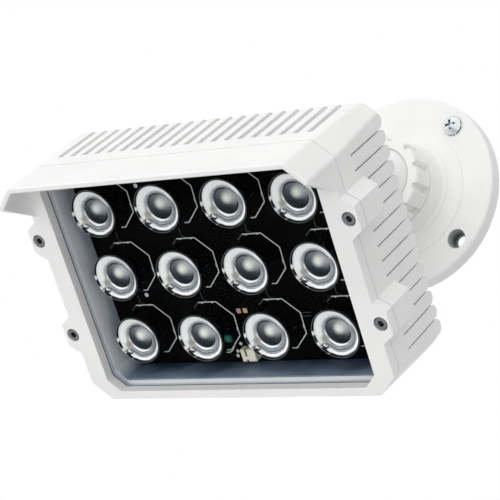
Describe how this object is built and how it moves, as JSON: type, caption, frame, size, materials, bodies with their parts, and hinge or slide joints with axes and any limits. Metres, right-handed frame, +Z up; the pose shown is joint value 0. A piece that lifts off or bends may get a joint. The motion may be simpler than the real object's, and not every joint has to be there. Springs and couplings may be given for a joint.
{
  "type": "infrared illuminator",
  "caption": "Outdoor infrared lamp for a wall: a finned metal head with a visor, a glazed window and clear lenses, carried by a short arm on a ball joint with a notched locking ring.",
  "frame": {"origin": "middle of the wall plate's flat back face", "axes": "+Y into the wall, +Z up, +X to the right of someone who faces the wall"},
  "size_m": [0.161, 0.2298, 0.1668],
  "materials": {
    "white_enamel": "satin",
    "zinc_screw": "satin",
    "dark_screw": "satin",
    "window_pane": "gloss",
    "black_rubber": "matte",
    "bare_aluminium": "satin",
    "black_board": "satin",
    "clear_acrylic": "gloss",
    "emitter": "satin",
    "green_glass": "gloss",
    "white_nylon": "satin",
    "grey_nylon": "matte",
    "black_plastic": "matte",
    "can_aluminium": "satin",
    "green_plastic": "satin",
    "gold_pin": "gloss"
  },
  "bodies": {
    "base": {"wall_plate": "white_enamel", "wall_screw": "zinc_screw"},
    "ring": {"locking_ring": "white_enamel"},
    "seat": {"ball_seat": "white_nylon"},
    "ball": {"ball": "white_enamel"},
    "head": {"arm": "white_enamel", "rear_housing": "white_enamel", "front_cover": "white_enamel", "arm_screws": "zinc_screw", "cover_screws": "dark_screw", "board_screws": "dark_screw", "driver_screws": "dark_screw", "window_glass": "window_pane", "window_gasket": "black_rubber", "gland_seal": "black_rubber", "carrier_plate": "bare_aluminium", "driver_spacers": "bare_aluminium", "led_board": "black_board", "driver_board": "black_board", "lens_1": "clear_acrylic", "lens_2": "clear_acrylic", "lens_3": "clear_acrylic", "lens_4": "clear_acrylic", "lens_5": "clear_acrylic", "lens_6": "clear_acrylic", "lens_7": "clear_acrylic", "lens_8": "clear_acrylic", "lens_9": "clear_acrylic", "lens_10": "clear_acrylic", "lens_11": "clear_acrylic", "lens_12": "clear_acrylic", "led_1": "emitter", "led_2": "emitter", "led_3": "emitter", "led_4": "emitter", "led_5": "emitter", "led_6": "emitter", "led_7": "emitter", "led_8": "emitter", "led_9": "emitter", "led_10": "emitter", "led_11": "emitter", "led_12": "emitter", "photocell": "green_glass", "board_socket": "white_nylon", "gland_body": "grey_nylon", "gland_nut": "grey_nylon", "gland_locknut": "grey_nylon", "choke": "black_plastic", "capacitors": "can_aluminium", "terminal_block": "green_plastic", "link_pins": "gold_pin"}
  },
  "joints": [
    {"name": "ring_turn", "type": "hinge", "parent": "base", "child": "ring", "pos_m": [0, -0.0225, 0], "axis": [0, -1, 0], "range_deg": [0, 180]},
    {"name": "ball_swivel", "type": "hinge", "parent": "base", "child": "seat", "pos_m": [0, -0.0238, 0], "axis": [0, 1, 0], "range_deg": [-180, 180]},
    {"name": "ball_tilt", "type": "hinge", "parent": "seat", "child": "ball", "pos_m": [0, -0.0238, 0], "axis": [1, 0, 0], "range_deg": [-86, 4]},
    {"name": "head_roll", "type": "hinge", "parent": "ball", "child": "head", "pos_m": [0, -0.0238, 0], "axis": [0, 0.7547, 0.6561], "range_deg": [-90, 90]}
  ]
}
